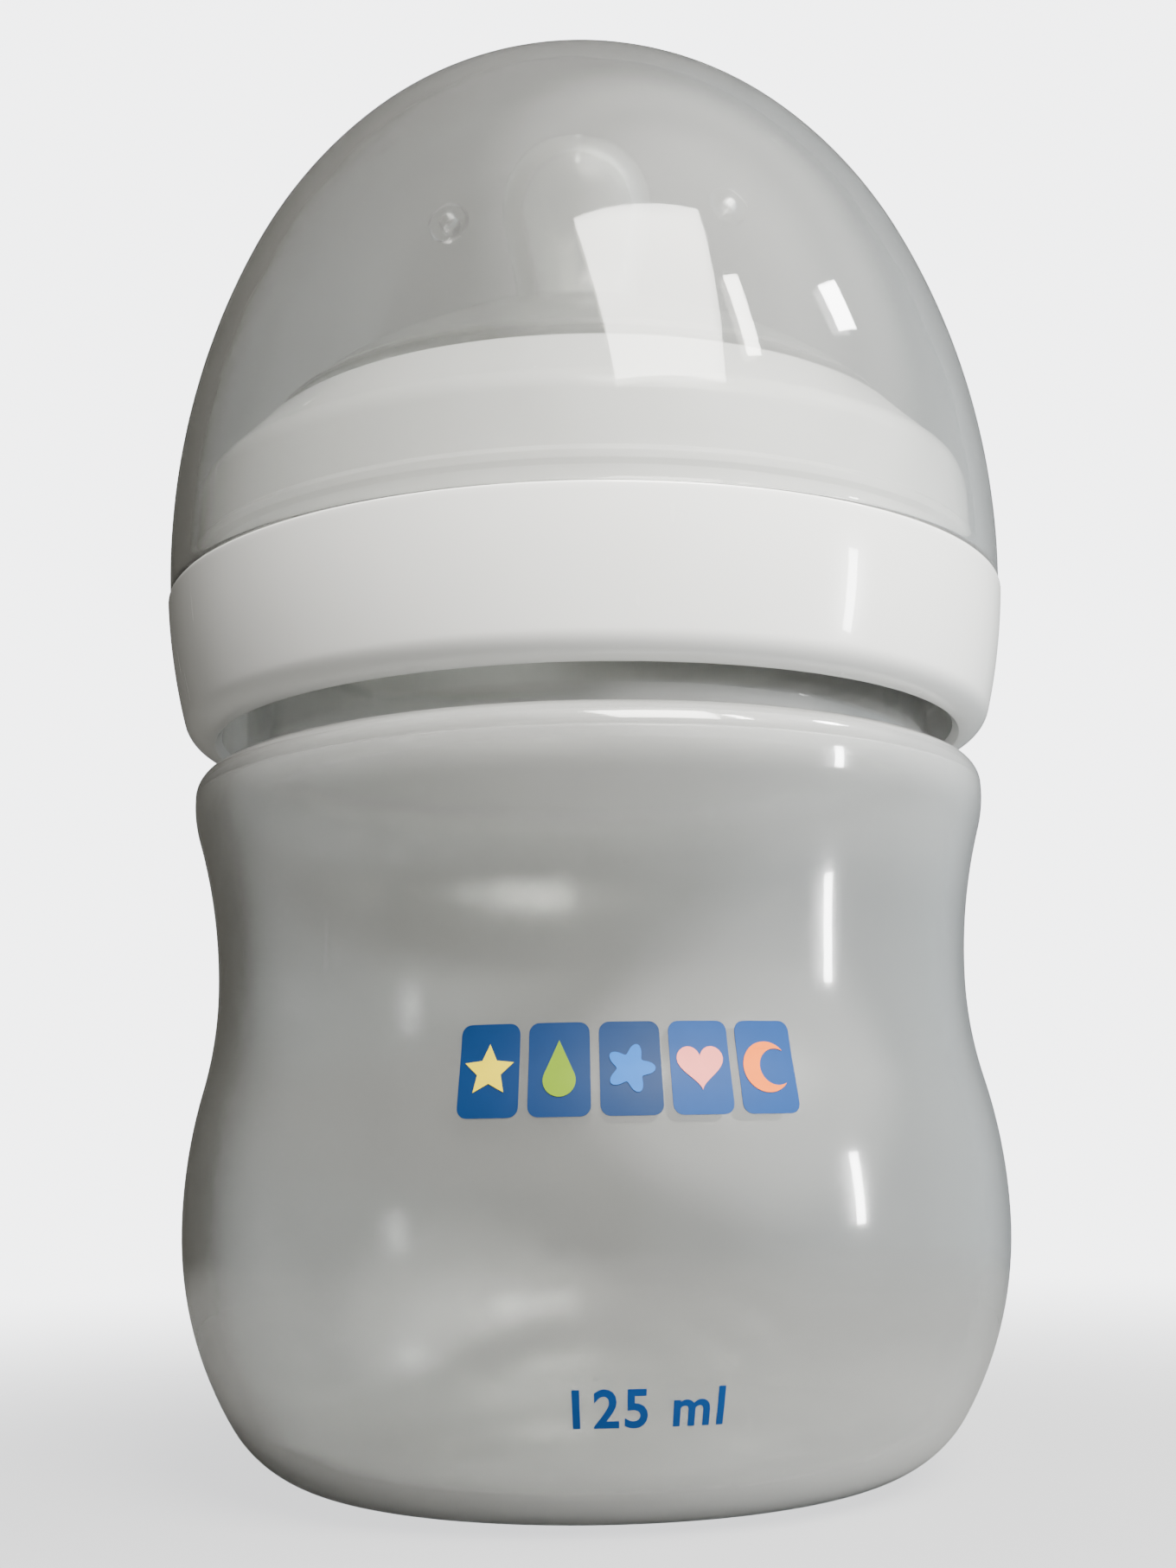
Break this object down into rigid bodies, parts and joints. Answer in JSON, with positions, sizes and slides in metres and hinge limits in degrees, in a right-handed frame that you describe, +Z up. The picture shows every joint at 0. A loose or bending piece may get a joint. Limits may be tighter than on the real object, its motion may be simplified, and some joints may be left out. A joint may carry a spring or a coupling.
{
  "type": "baby feeding bottle",
  "caption": "Small wide-neck baby feeding bottle: waisted translucent body, silicone teat, white screw ring and frosted dome cap that pulls off.",
  "frame": {"origin": "middle of the base, on the surface that the bottle stands on", "axes": "+Z up along the bottle's axis, the printed front faces -Y, +X to the viewer's right"},
  "size_m": [0.0698, 0.0698, 0.119],
  "materials": {
    "milky_body": "milky translucent polypropylene, glossy outside",
    "silicone": "clear to milky soft silicone, satin",
    "white_ring": "opaque white polypropylene, glossy",
    "frosted_cap": "frosted translucent polypropylene, glossy outside",
    "print_ink": "printed ink, blue with small coloured pictures"
  },
  "bodies": {
    "bottle": {"bottle_body": "milky_body"},
    "teat": {"teat": "silicone"},
    "ring": {"screw_ring": "white_ring"},
    "cap": {"dome_cap": "frosted_cap"}
  },
  "joints": [
    {"name": "ring_lift", "type": "slide", "parent": "bottle", "child": "teat", "axis": [0, 0, 1], "range_m": [0, 0.0221]},
    {"name": "ring_turn", "type": "hinge", "parent": "teat", "child": "ring", "pos_m": [0, 0, 0.07], "axis": [0, 0, 1], "range_deg": [0, 1584]},
    {"name": "cap_lift", "type": "slide", "parent": "ring", "child": "cap", "axis": [0, 0, 1], "range_m": [0, 0.055]}
  ],
  "couplings": [
    {"joint": "ring_lift", "follows": "ring_turn", "m_per_rad": 0.00079577}
  ]
}
